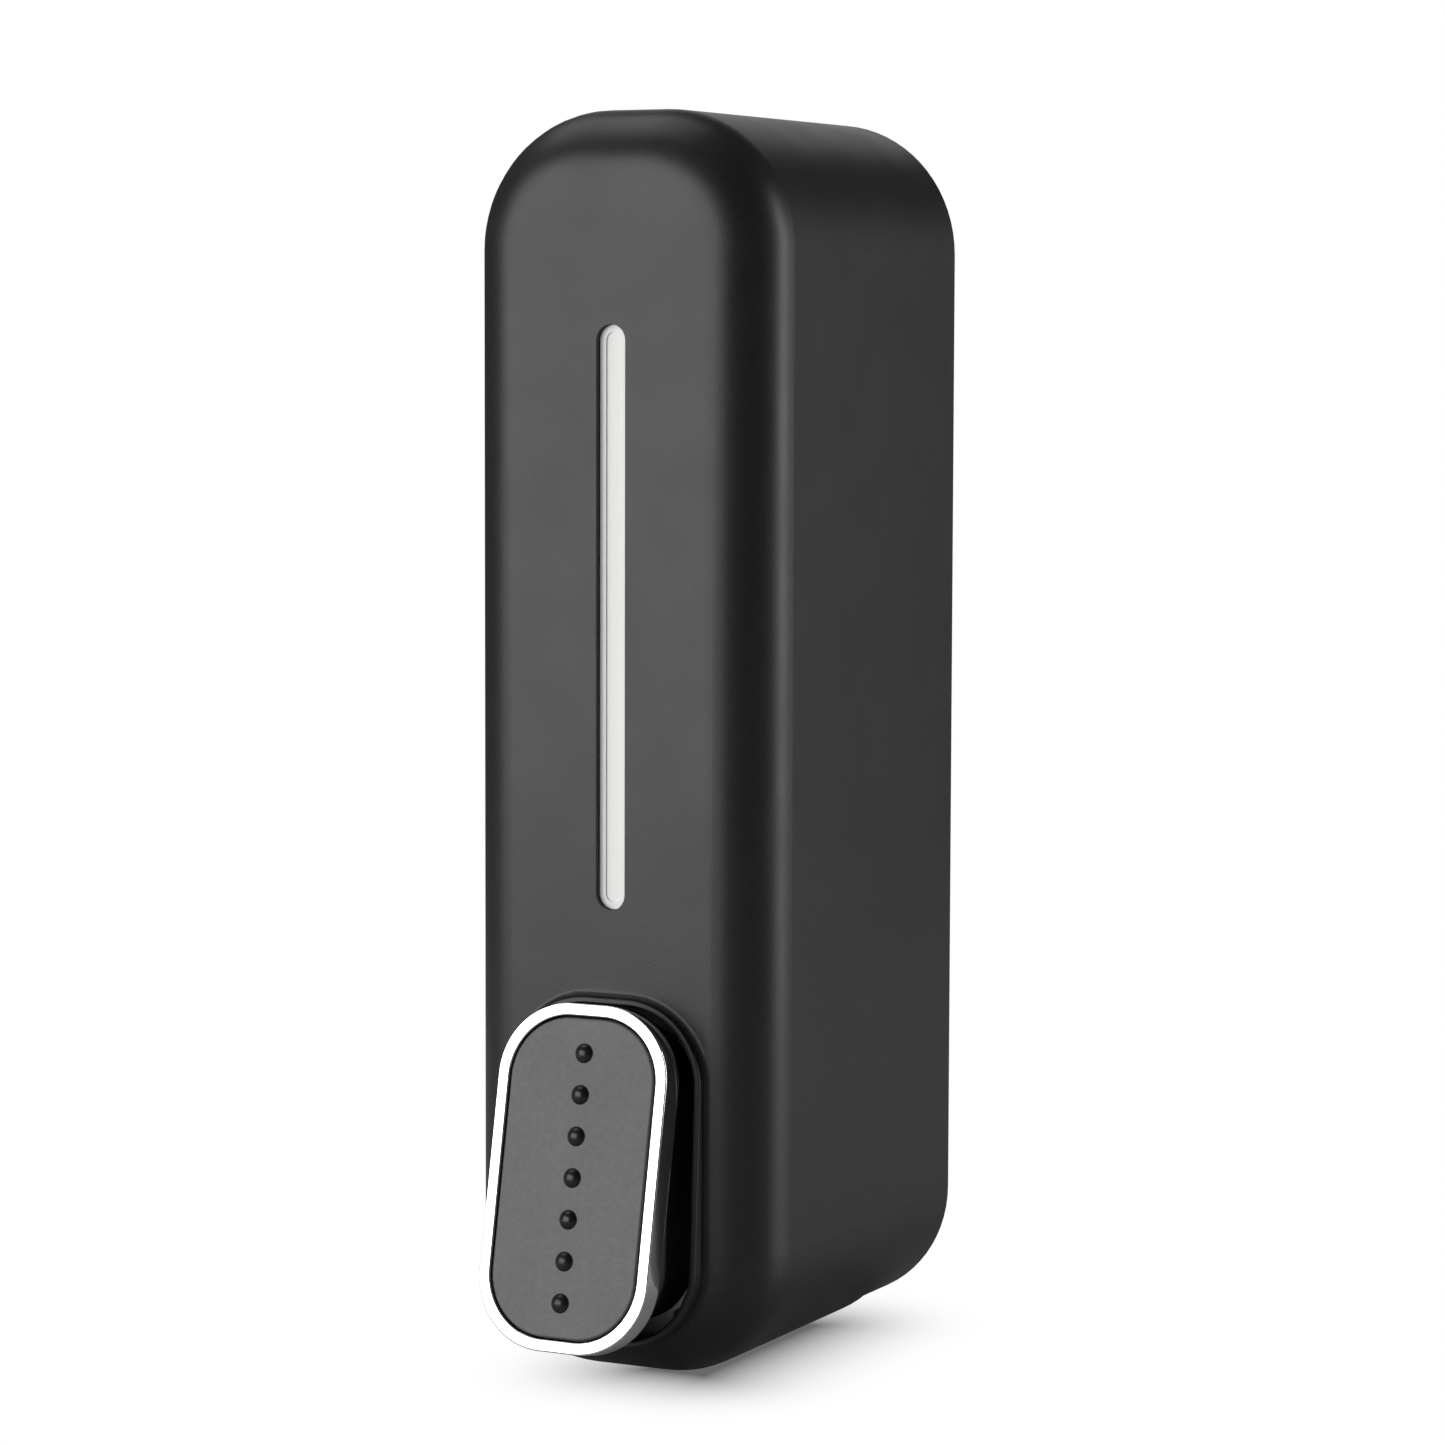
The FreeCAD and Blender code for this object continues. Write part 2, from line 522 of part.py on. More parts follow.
def add_collar(body):
    """Raised rim round the button, higher at its lower end, and the hole in it."""
    rim = sketch_on(body, "XZ_Plane", "dim.depth - dim.wall")
    opening_outline("dim.rim_width")(rim)
    pad(body, rim, "dim.wall + dim.rim_rise_low + dim.over")
    slope = sketch_on(body, "YZ_Plane")
    high = "(%s + %s + dim.rim_width)" % (OPENING_UP, OPENING_HALF_HEIGHT)
    low = "(%s - %s - dim.rim_width)" % (OPENING_UP, OPENING_HALF_HEIGHT)
    draw_polygon(slope, (
        ("-dim.depth - dim.rim_rise_top", high + " + dim.over"),
        ("-dim.depth - dim.rim_rise_top", high),
        ("-dim.depth - dim.rim_rise_low", low),
        ("-dim.depth - dim.rim_rise_low", low + " - dim.over"),
        ("-dim.depth - 2 * dim.rim_rise_low", low + " - dim.over"),
        ("-dim.depth - 2 * dim.rim_rise_low", high + " + dim.over")))
    pocket(body, slope, "dim.width", both_ways=True)
    rim_half = value(OPENING_HALF_WIDTH + " + dim.rim_width")
    front = value(FRONT)
    bottom = value(low)
    top = value(high)

    def at_base(edge):
        """Edges where the rim's outer wall meets the front of the cover."""
        box = edge.BoundBox
        return (box.XMax < rim_half + 0.01 and box.XMin > -rim_half - 0.01
                and box.ZMax < top + 0.01 and box.ZMin > bottom - 0.01
                and box.YMin > front - 0.01 and box.YMax < value(back("wall")) - 0.02)

    def on_crest(edge):
        """Edges that lie in the sloped plane on top of the rim."""
        ends = [edge.valueAt(at) for at in edge.ParameterRange]
        slope_at = (value("dim.rim_rise_low") - value("dim.rim_rise_top")) / (top - bottom)
        return all(
            abs(end.y - (front - value("dim.rim_rise_top") - slope_at * (top - end.z))) < 1e-3
            and abs(end.x) < rim_half + 0.01 for end in ends)

    round_edges(body, "dim.rim_blend", at_base)
    hole = sketch_on(body, "XZ_Plane", "dim.depth + dim.rim_rise_low + dim.over")
    opening_outline()(hole)
    pocket(body, hole, "dim.rim_rise_low + dim.wall + 2 * dim.over")
    round_edges(body, "dim.rim_edge", on_crest)


def add_hinge_knuckles(body):
    knuckles = sketch_on(body, "YZ_Plane")
    draw_circle(knuckles, "-dim.hinge_back", up("hinge_up"), "dim.knuckle_radius")
    pad(body, knuckles,
        "dim.centre_knuckle + 2 * dim.knuckle_gap + 2 * dim.knuckle_length", both_ways=True)
    notch = sketch_on(body, "XY_Plane", "-dim.height / 2 - dim.over")
    half = "(dim.centre_knuckle / 2 + dim.knuckle_gap)"
    draw_polygon(notch, (
        ("-" + half, "-dim.notch_front"), (half, "-dim.notch_front"),
        (half, "dim.over"), ("-" + half, "dim.over")))
    pocket(body, notch, "2 * dim.over + dim.hinge_up + dim.knuckle_radius", backwards=True)
    hole = sketch_on(body, "YZ_Plane")
    draw_circle(hole, "-dim.hinge_back", up("hinge_up"), "dim.pin_radius + dim.run_gap")
    pocket(body, hole, "dim.width / 2", both_ways=True)


def add_pivot_lugs(body):
    """Two ears behind the front wall that hold the ends of the button's pin."""
    for side in ("", "-"):
        lug = sketch_on(body, "XZ_Plane", "dim.depth - dim.wall + dim.lug_root")
        near, far = side + LUG_INNER, "%s(%s + dim.lug_width)" % (side, LUG_INNER)
        low = PIVOT_UP + " - dim.lug_size / 2"
        high = PIVOT_UP + " + dim.lug_size / 2"
        draw_polygon(lug, ((near, low), (far, low), (far, high), (near, high)))
        pad(body, lug, "dim.pivot_in - dim.wall + dim.lug_size / 2 + dim.lug_root", backwards=True)
    hole = sketch_on(body, "YZ_Plane")
    draw_circle(hole, back("pivot_in"), PIVOT_UP, "dim.pivot_radius")
    pocket(body, hole, "2 * (%s + dim.lug_width - dim.pin_end)" % LUG_INNER, both_ways=True)


def make_window():
    """Tray shaped lens set back in its slot, its flange behind the wall, and its frame."""
    low, high = up("slot_low"), up("slot_high")

    def slot(margin):
        return lambda sketch: draw_slot(
            sketch, "0", "%s - (%s)" % (low, margin), "%s + (%s)" % (high, margin),
            "(dim.slot_width / 2 + %s)" % margin)

    face = prism("lens_face", "XZ_Plane", "dim.depth - dim.wall - dim.flange_thick",
                 "dim.wall + dim.flange_thick - dim.lens_recess", slot("-dim.lens_gap"))
    flange = prism("lens_flange_body", "XZ_Plane", "dim.depth - dim.wall - dim.flange_thick",
                   "dim.flange_thick", slot("dim.lens_flange"))
    tray = prism("lens_tray", "XZ_Plane", "dim.depth - dim.lens_recess - dim.lens_sink",
                 "dim.lens_sink + dim.over", slot("-dim.lens_gap - dim.lens_rim"))
    node(cut("lens", join("lens_solid", face, flange), tray), "window_lens")
    rear = "dim.depth - dim.wall - dim.flange_thick - dim.frame_thick"
    outer = prism("frame_outer", "XZ_Plane", rear, "dim.frame_thick",
                  slot("(dim.lens_flange + dim.frame_margin)"))
    inner = prism("frame_inner", "XZ_Plane", rear + " - dim.over", "dim.frame_thick + 2 * dim.over",
                  slot("0"))
    node(cut("frame", outer, inner), "lens_frame")


def make_outlet_plate():
    """Plate in the bottom of the cover with the hole that the nozzle shows through."""
    outer = prism("outlet_skin", "XZ_Plane", "0", "dim.depth", cover_outline())
    inner = prism("outlet_room", "XZ_Plane", "-dim.over", "dim.depth + 2 * dim.over",
                  cover_outline("dim.wall"))
    low = "-dim.height / 2 - dim.over"

    def plan(sketch):
        draw_outline(
            sketch,
            "-%s + dim.outlet_gap" % OUTLET_PLATE_HALF, "%s - dim.outlet_gap" % OUTLET_PLATE_HALF,
            back("outlet_plate_front") + " + dim.outlet_gap",
            OUTLET_PLATE_REAR + " - dim.outlet_gap",
            "dim.outlet_plate_corner - dim.outlet_gap")

    block = prism("outlet_block", "XY_Plane", low, "dim.outlet_room", plan)
    plate = common("outlet_slab", cut("outlet_shell", outer, inner), block)
    tongues = []
    floor = "(-dim.height / 2 + dim.wall)"
    for name, first, second in (
            ("front", back("outlet_plate_front") + " - dim.tongue_reach",
             back("outlet_plate_front") + " + dim.tongue_reach"),
            ("rear", OUTLET_PLATE_REAR + " - dim.tongue_reach",
             OUTLET_PLATE_REAR + " + dim.tongue_reach")):
        tongues.append(box("tongue_" + name, *side_to_side("tongue_width"), first, second,
                           floor, floor + " + dim.tongue_thick"))
    solid = join("outlet_solid", plate, *tongues)
    hole = upright("outlet_hole_tool", back("pump_back"), low,
                   "-dim.height / 2 + dim.outlet_room", OUTLET_HOLE)
    node(cut("outlet", solid, hole), "outlet_plate")


# ---------------------------------------------------------------- push button
def tilt(body):
    """Move a body to the button's own frame: local -Y is out of its face."""
    place(body, "0", "-dim.depth - dim.button_stand", up("button_up"), (1, 0, 0),
          -value("dim.button_tilt"))
    bind(body, ".Placement.Rotation.Angle", "-dim.button_tilt")
    doc.recompute()
    return body


def face_outline(inset, corner):
    """Rounded rectangle in the button's face, drawn in from the ring's outside."""
    def draw(sketch):
        draw_outline(
            sketch,
            "-dim.ring_width / 2 + (%s)" % inset, "dim.ring_width / 2 - (%s)" % inset,
            "-dim.ring_height / 2 + (%s)" % inset, "dim.ring_height / 2 - (%s)" % inset, corner)
    return draw


def make_ring():
    body = new_body("ring_body")
    outer = sketch_on(body, "XZ_Plane", "-dim.ring_deep")
    face_outline("0", "dim.ring_corner")(outer)
    pad(body, outer, "dim.ring_deep")
    inner = sketch_on(body, "XZ_Plane", "dim.over")
    face_outline("dim.ring_face", "dim.ring_inner_corner")(inner)
    pocket(body, inner, "dim.ring_deep + 2 * dim.over")
    round_edges(body, "dim.ring_edge", lambda edge: flat_at(edge, "Y", 0.0))
    half = value("dim.ring_width / 2 - dim.ring_face / 2")
    tall = value("dim.ring_height / 2 - dim.ring_face / 2")
    deep = value("dim.ring_deep")

    def rear_outside(edge):
        box = edge.BoundBox
        reach_x = max(abs(box.XMin), abs(box.XMax))
        reach_z = max(abs(box.ZMin), abs(box.ZMax))
        return flat_at(edge, "Y", deep) and (reach_x > half or reach_z > tall)

    round_edges(body, "dim.ring_rear_edge", rear_outside)
    return node(tilt(body), "button_ring")


def make_pad():
    """Push pad with a row of seven round holes that the domed studs sit in."""
    body = new_body("pad_body")
    sketch = sketch_on(body, "XZ_Plane", "-dim.pad_thick - dim.pad_sink")
    face_outline("dim.ring_face + dim.pad_gap", "dim.ring_inner_corner - dim.pad_gap")(sketch)
    pad(body, sketch, "dim.pad_thick")
    holes = sketch_on(body, "XZ_Plane")
    for step in range(-3, 4):
        draw_circle(holes, "0", "%d * dim.stud_pitch" % step, "dim.stud_radius + dim.stud_gap")
    pocket(body, holes, "dim.pad_thick + dim.pad_sink")
    face, narrow = value("dim.pad_sink"), value("2 * dim.stud_radius + 2 * dim.stud_gap")
    round_edges(body, "dim.pad_edge", lambda edge: (
        flat_at(edge, "Y", face) and edge.BoundBox.DiagonalLength > 2 * narrow))
    node(tilt(body), "button_pad")


def make_studs():
    """Seven domed studs, one solid each, in line down the middle of the pad."""
    dome = "((dim.stud_radius ^ 2 + dim.stud_rise ^ 2) / (2 * dim.stud_rise))"
    tip = "dim.pad_sink - dim.stud_rise"
    studs = []
    for step in range(-3, 4):
        rise = "%d * dim.stud_pitch" % step
        peg = level("stud_peg", tip, "dim.pad_thick + dim.pad_sink", rise, "dim.stud_radius")
        collar = level("stud_collar", tip + " - dim.over", "dim.pad_sink", rise,
                       "dim.stud_radius + dim.over")
        shave = cut("stud_shave", collar, ball("stud_ball", "%s + %s" % (tip, dome), rise, dome))
        studs.append(tilt(cut("stud", peg, shave)))
    node(group("studs", studs), "button_studs")


def make_button_body():
    """Lever behind ring and pad: skirt, seat for the ring, pivot bridge and push post."""
    middle = "(-dim.height / 2 + dim.button_up - dim.skirt_lower)"
    half_height = "(dim.ring_height / 2 - dim.skirt_end)"

    def skirt(inset):
        return lambda sketch: draw_outline(
            sketch,
            "-dim.ring_width / 2 + dim.ring_face + dim.skirt_gap + %s" % inset,
            "dim.ring_width / 2 - dim.ring_face - dim.skirt_gap - %s" % inset,
            "%s - %s + %s" % (middle, half_height, inset),
            "%s + %s - %s" % (middle, half_height, inset),
            "dim.ring_corner - dim.skirt_round - %s" % inset)

    def ahead_of(name, depth):
        """Everything in front of a plane that is a depth behind the button's face."""
        tool = prism(name, "XZ_Plane", "-(%s)" % depth, "dim.depth", lambda sketch: draw_polygon(
            sketch, (("-dim.width", "-dim.width"), ("dim.width", "-dim.width"),
                     ("dim.width", "dim.width"), ("-dim.width", "dim.width"))))
        return tilt(tool)

    plate_front = "dim.pad_thick + dim.pad_sink"
    block = prism("skirt_block", "XZ_Plane", "dim.depth - dim.skirt_rear",
                  "dim.skirt_reach + dim.skirt_rear", skirt("0"))
    block = cut("skirt_solid", block, ahead_of("skirt_front", plate_front))
    seat = prism("ring_seat", "XZ_Plane", "-dim.ring_deep - dim.button_flange",
                 "dim.button_flange", face_outline("dim.flange_inset",
                                                   "dim.ring_corner - dim.flange_inset"))
    room = prism("skirt_room", "XZ_Plane", "dim.depth - dim.skirt_rear - dim.over",
                 "dim.skirt_reach + dim.skirt_rear + dim.over", skirt("dim.skirt_wall"))
    room = cut("skirt_hollow", room,
               ahead_of("skirt_inner", plate_front + " + dim.plate_behind"))
    shell = cut("skirt_shell", join("skirt_seat", block, tilt(seat)), room)
    reach = "(%s - dim.side_gap)" % LUG_INNER
    bridge = box("pivot_bridge", "-" + reach, reach, back("wall") + " + dim.bridge_gap",
                 back("bridge_rear"), PIVOT_UP + " - dim.bridge_size / 2",
                 PIVOT_UP + " + dim.bridge_size / 2")
    post = box("push_post", *side_to_side("post_size"), "-dim.depth - dim.post_ahead", back("post_reach"),
               up("pump_up") + " - dim.post_size / 2", up("pump_up") + " + dim.post_size / 2")
    solid = join("lever_solid", shell, bridge, post)
    hole = rod("pivot_hole", "X", "-dim.width / 2", back("pivot_in"), PIVOT_UP,
               "dim.pivot_radius + dim.run_gap", "dim.width")
    node(cut("lever", solid, hole), "button_body")
    pin_half = "(%s + dim.lug_width - dim.pin_end)" % LUG_INNER
    pin = rod("pivot_pin", "X", "-" + pin_half, back("pivot_in"), PIVOT_UP,
              "dim.pivot_radius", "2 * " + pin_half)
    node(pin, "button_pivot_pin")


# ---------------------------------------------------------------- wall plate
def make_back_plate():
    edge = "(dim.wall + dim.plate_clear)"

    def outline(sketch):
        draw_outline(
            sketch, "-dim.width / 2 + " + edge, "dim.width / 2 - " + edge, up("plate_low"),
            "dim.height / 2 - dim.plate_top", "dim.plate_low_corner", "dim.top_corner - " + edge)

    plate = prism("plate_sheet", "XZ_Plane", "0", "dim.plate_thick", outline)
    face = "-dim.plate_thick"
    shelf_low = up("shelf_up") + " - dim.shelf_thick"
    parts = [plate, box("shelf", *side_to_side("shelf_width"), back("shelf_front"), face,
                        shelf_low, up("shelf_up"))]
    for name, start in (("right", "dim.shelf_width / 2 - dim.gusset_thick"),
                        ("left", "-dim.shelf_width / 2")):
        parts.append(prism(
            "gusset_" + name, "YZ_Plane", start, "dim.gusset_thick",
            lambda sketch: draw_polygon(sketch, (
                ("-dim.over", shelf_low + " + dim.over"),
                (back("gusset_front"), shelf_low + " + dim.over"),
                (back("gusset_front"), shelf_low),
                ("-dim.over", shelf_low + " - dim.gusset_drop")))))
    side = side_to_side("centre_knuckle")
    low = up("hinge_up") + " - dim.knuckle_radius"
    parts.append(rod("knuckle", "X", side[0], "-dim.hinge_back", up("hinge_up"),
                     "dim.knuckle_radius", "dim.centre_knuckle"))
    parts.append(box("hinge_block", *side, "-dim.hinge_back", "0", low,
                     up("hinge_up") + " + dim.knuckle_radius"))
    parts.append(box("hinge_neck", *side, face, "0", low, up("plate_low") + " + dim.hinge_neck_root"))
    strike = ("-" + STRIKE_FAR, "-" + STRIKE_NEAR)
    strike_front = back("lock_back") + " + dim.strike_ahead"
    strike_up = "(%s - dim.strike_floor_gap)" % LOCK_LOW
    parts.append(box("strike_shelf", *strike, strike_front, face,
                     strike_up + " - dim.strike_shelf_thick", strike_up))
    parts.append(box("strike_post", *strike, strike_front,
                     strike_front + " + dim.strike_thick", strike_up + " - dim.over",
                     strike_up + " + dim.strike_rise"))
    solid = join("plate_solid", *parts)
    tools = [rod("hinge_bore", "X", "-dim.width / 2", "-dim.hinge_back", up("hinge_up"),
                 "dim.pin_radius", "dim.width"),
             upright("spout_hole", back("pump_back"), shelf_low + " - dim.over",
                     up("shelf_up") + " + dim.over", "dim.spout_radius + dim.spout_gap")]
    for across in ("-dim.screw_span_across / 2", "dim.screw_span_across / 2"):
        for rise in ("-dim.screw_span_up / 2", "dim.screw_span_up / 2"):
            tools.append(level("wall_screw_hole", face + " - dim.over", "dim.over", rise,
                               "dim.screw_hole", across))
    for across, along in pump_screw_places():
        tools.append(upright("shelf_screw_hole", along, shelf_low + " - dim.over",
                             shelf_low + " + dim.screw_grip", "dim.screw_radius", across))
    for across in ("-dim.clip_screw_span / 2", "dim.clip_screw_span / 2"):
        tools.append(level("clip_screw_hole", face + " - dim.over", face + " + dim.clip_screw_grip",
                           CLIP_SCREW_UP, "dim.screw_radius", across))
    node(cut("plate", solid, *tools), "back_plate")
    pin_half = "(dim.centre_knuckle / 2 + dim.knuckle_gap + dim.knuckle_length)"
    node(rod("hinge_rod", "X", "-%s + dim.hinge_pin_end" % pin_half, "-dim.hinge_back", up("hinge_up"),
             "dim.pin_radius", "2 * (%s - dim.hinge_pin_end)" % pin_half), "hinge_pin")


def pump_screw_places():
    return [
        ("%sdim.pump_screw_across / 2" % side, back("pump_back") + " %s dim.pump_screw_along / 2" % way)
        for side in ("-", "") for way in ("-", "+")
    ]


def make_tank_clip():
    """Bent sheet clip that holds the tank down, and its two screws."""
    face = "-dim.plate_thick"
    foot = TANK_TOP + " + dim.clip_gap"
    side = side_to_side("clip_width")
    leg = box("clip_leg", *side, face + " - dim.clip_thick", face, foot,
              foot + " + dim.clip_rise")
    lip = box("clip_lip", *side, face + " - dim.clip_reach", face, foot,
              foot + " + dim.clip_thick")
    holes = []
    screws = []
    front = face + " - dim.clip_thick"
    for across in ("-dim.clip_screw_span / 2", "dim.clip_screw_span / 2"):
        holes.append(level("clip_hole", front + " - dim.over", face + " + dim.over", CLIP_SCREW_UP,
                           "dim.screw_radius + dim.fit_gap", across))
        head = level("clip_screw_head", front + " - dim.screw_head_height", front,
                     CLIP_SCREW_UP, "dim.screw_head_radius", across)
        shank = level("clip_screw_shank", front, face + " + dim.clip_screw_grip",
                      CLIP_SCREW_UP, "dim.screw_radius", across)
        drive = level("clip_screw_drive", front + " - dim.screw_head_height - dim.over",
                      front + " - dim.screw_head_height / 2", CLIP_SCREW_UP,
                      "dim.drive_radius", across)
        screws.append(cut("clip_screw", join("clip_screw_solid", head, shank), drive))
    node(cut("clip", join("clip_solid", leg, lip), *holes), "tank_clip")
    node(group("clip_screw_pair", screws), "clip_screws")


# ---------------------------------------------------------------- soap tank
def make_tank():
    def plan(inset):
        return lambda sketch: draw_outline(
            sketch, "-dim.tank_width / 2 + " + inset, "dim.tank_width / 2 - " + inset,
            TANK_FRONT + " + " + inset, "-dim.tank_rear - " + inset,
            "dim.tank_corner - " + inset)

    foot = up("shelf_up")
    tall = "%s - %s" % (TANK_TOP, foot)
    outer = prism("tank_outer", "XY_Plane", foot, tall, plan("0"))
    ends = (value(foot), value(TANK_TOP))
    round_edges(outer, "dim.tank_edge", lambda edge: any(flat_at(edge, "Z", end) for end in ends))
    inner = prism("tank_inner", "XY_Plane", foot + " + dim.tank_wall",
                  tall + " - 2 * dim.tank_wall", plan("dim.tank_wall"))
    wall = value("dim.tank_wall")
    round_edges(inner, "dim.tank_edge - dim.tank_wall", lambda edge: (
        flat_at(edge, "Z", ends[0] + wall) or flat_at(edge, "Z", ends[1] - wall)))
    side = side_to_side("rib_width")
    rib = box("rib", *side, TANK_FRONT + " - dim.rib_reach", TANK_FRONT + " + dim.tank_edge",
              up("rib_low"), up("rib_high"))
    rib_room = box("rib_room", side[0] + " + dim.tank_wall", side[1] + " - dim.tank_wall",
                   TANK_FRONT + " - dim.rib_reach + dim.tank_wall",
                   TANK_FRONT + " + dim.tank_edge",
                   up("rib_low") + " + dim.tank_wall",
                   up("rib_high") + " - dim.tank_wall - dim.tank_edge")
    along = back("neck_back")
    neck = upright("neck", along, TANK_TOP + " - dim.over", NECK_TOP, "dim.neck_radius")
    spout = upright("spout", back("pump_back"), foot + " - dim.spout_drop", foot + " + dim.over",
                    "dim.spout_radius")
    neck_room = upright("neck_room", along, TANK_TOP + " - dim.tank_wall - dim.over",
                        NECK_TOP + " + dim.over",
                        "dim.neck_radius - dim.neck_wall")
    spout_room = upright("spout_room", back("pump_back"), foot + " - dim.spout_drop - dim.over",
                         foot + " + dim.tank_wall + dim.over", "dim.spout_bore")
    solid = join("tank_solid", outer, rib, neck, spout)
    node(cut("tank_body", solid, inner, rib_room, neck_room, spout_room), "tank")


def make_cap():
    """Fill cap with grip ribs round its skirt, and the seal inside it."""
    along = back("neck_back")
    roof = NECK_TOP + " + dim.cap_seal_thick"
    skirt_low = roof + " - dim.cap_drop"
    parts = [upright("cap_drum", along, skirt_low, roof + " + dim.cap_wall", CAP_RADIUS)]
    count = int(value("dim.cap_grips"))
    for index in range(count):
        turn = 360.0 * index / count
        parts.append(upright(
            "cap_grip", "%s + (%s - dim.grip_in) * sin(%s)" % (along, CAP_RADIUS, turn), skirt_low,
            roof + " + dim.cap_wall / 2", "dim.grip_radius",
            "(%s - dim.grip_in) * cos(%s)" % (CAP_RADIUS, turn)))
    room = upright("cap_room", along, skirt_low + " - dim.over", roof, "dim.neck_radius + dim.cap_gap")
    node(cut("cap", join("cap_solid", *parts), room), "tank_cap")
    ring = upright("cap_seal_disc", along, NECK_TOP, roof, "dim.neck_radius - dim.fit_gap")
    hole = upright("cap_seal_hole", along, NECK_TOP + " - dim.over", roof + " + dim.over",
                   "dim.neck_radius - dim.neck_wall + dim.fit_gap")
    node(cut("cap_ring", ring, hole), "cap_seal")


# ---------------------------------------------------------------- pump
PORT = back("pump_back")
AXIS = up("pump_up")
FLANGE_LOW = "(%s - dim.shelf_thick - dim.pump_flange_thick)" % up("shelf_up")
FLANGE_TOP = "(%s - dim.shelf_thick)" % up("shelf_up")
SEAT_TOP = "(%s - dim.socket_deep)" % FLANGE_TOP
INLET_SEAT = "(%s - dim.seat_thick)" % SEAT_TOP
INLET_FLOOR = "(%s - dim.valve_room)" % INLET_SEAT
OUTLET_SEAT = "(%s - %s - dim.outlet_seat_drop)" % (AXIS, BARREL_RADIUS)
OUTLET_END = up("outlet_low")
NOZZLE_PLUG = "(%s + dim.plug_length)" % OUTLET_END


def make_pump_body():
    barrel = level("barrel", back("barrel_front"), back("barrel_end"), AXIS, BARREL_RADIUS)
    tower = upright("tower", PORT, AXIS, FLANGE_TOP, "dim.tower_radius")
    across = "(dim.pump_screw_across / 2 + dim.pump_flange_margin)"
    along = "(dim.pump_screw_along / 2 + dim.pump_flange_margin)"
    flange = box("pump_flange", "-" + across, across, "%s - %s" % (PORT, along),
                 "%s + %s" % (PORT, along), FLANGE_LOW, FLANGE_TOP)
    outlet = upright("outlet_tower", PORT, OUTLET_END, AXIS, "dim.outlet_radius")
    solid = join("pump_solid", barrel, tower, flange, outlet)
    tools = [
        level("barrel_room", back("barrel_front") + " - dim.over",
              back("barrel_end") + " - dim.barrel_wall", AXIS, "dim.barrel_bore"),
        upright("socket", PORT, INLET_SEAT, FLANGE_TOP + " + dim.over", "dim.socket_radius"),
        upright("inlet_room", PORT, INLET_FLOOR, INLET_SEAT, "dim.valve_bore"),
        upright("inlet_port", PORT, AXIS, INLET_SEAT, "dim.seat_bore"),
        upright("outlet_port", PORT, OUTLET_SEAT, AXIS, "dim.seat_bore"),
        upright("outlet_room", PORT, OUTLET_END + " - dim.over", OUTLET_SEAT, "dim.valve_bore"),
    ]
    for across, along in pump_screw_places():
        tools.append(upright("flange_hole", along, FLANGE_LOW + " - dim.over", FLANGE_TOP + " + dim.over",
                             "dim.screw_radius + dim.fit_gap", across))
    node(cut("pump", solid, *tools), "pump_body")
    front = back("barrel_front")
    flange = level("bush_face", front + " - dim.bush_flange", front, AXIS, BARREL_RADIUS)
    plug = level("bush_plug", front, front + " + dim.bush_plug", AXIS, "dim.barrel_bore")
    hole = level("bush_hole", front + " - dim.bush_flange - dim.over",
                 front + " + dim.bush_plug + dim.over",
                 AXIS, "dim.rod_radius + dim.run_gap")
    node(cut("bush", join("bush_solid", flange, plug), hole), "pump_bush")
    screws = []
    for across, along in pump_screw_places():
        head = upright("pump_screw_head", along, FLANGE_LOW + " - dim.screw_head_height",
                       FLANGE_LOW, "dim.screw_head_radius", across)
        shank = upright("pump_screw_shank", along, FLANGE_LOW, FLANGE_TOP + " + dim.screw_grip",
                        "dim.screw_radius", across)
        drive = upright("pump_screw_drive", along, FLANGE_LOW + " - dim.screw_head_height - dim.over",
                        FLANGE_LOW + " - dim.screw_head_height / 2",
                        "dim.drive_radius", across)
        screws.append(cut("pump_screw", join("pump_screw_solid", head, shank), drive))
    node(group("pump_screw_set", screws), "pump_screws")


def make_valves():
    """Two spring loaded balls below their seats, and the seals at the tank's spout."""
    seat = upright("seat_disc", PORT, INLET_SEAT, SEAT_TOP, "dim.socket_radius")
    seat_hole = upright("seat_hole", PORT, INLET_SEAT + " - dim.over", SEAT_TOP + " + dim.over",
                        "dim.seat_bore")
    node(cut("seat", seat, seat_hole), "inlet_seat")
    ring = upright("spout_ring", PORT, SEAT_TOP + " + dim.seal_up",
                   SEAT_TOP + " + dim.seal_up + dim.seal_height",
                   "dim.socket_radius")
    ring_hole = upright("spout_ring_hole", PORT, SEAT_TOP, FLANGE_TOP, "dim.spout_radius")
    node(cut("spout_seal", ring, ring_hole), "outlet_seal")
    drop = "(sqrt(dim.ball_radius ^ 2 - dim.seat_bore ^ 2) + dim.ball_gap)"
    rest = "sqrt(dim.ball_radius ^ 2 - dim.valve_spring_radius ^ 2)"
    for name, seat_level, floor in (("inlet", INLET_SEAT, INLET_FLOOR),
                                    ("outlet", OUTLET_SEAT, NOZZLE_PLUG)):
        centre = "(%s - %s)" % (seat_level, drop)
        node(ball(name + "_sphere", PORT, centre, "dim.ball_radius"), name + "_ball")
        start = "(%s + dim.valve_wire)" % floor
        height = "%s - %s - 2 * dim.valve_wire - %s" % (centre, rest, start)
        node(coil(name + "_coil", PORT, start, height, "dim.valve_spring_radius",
                  "dim.valve_wire", "dim.valve_turns"), name + "_spring")


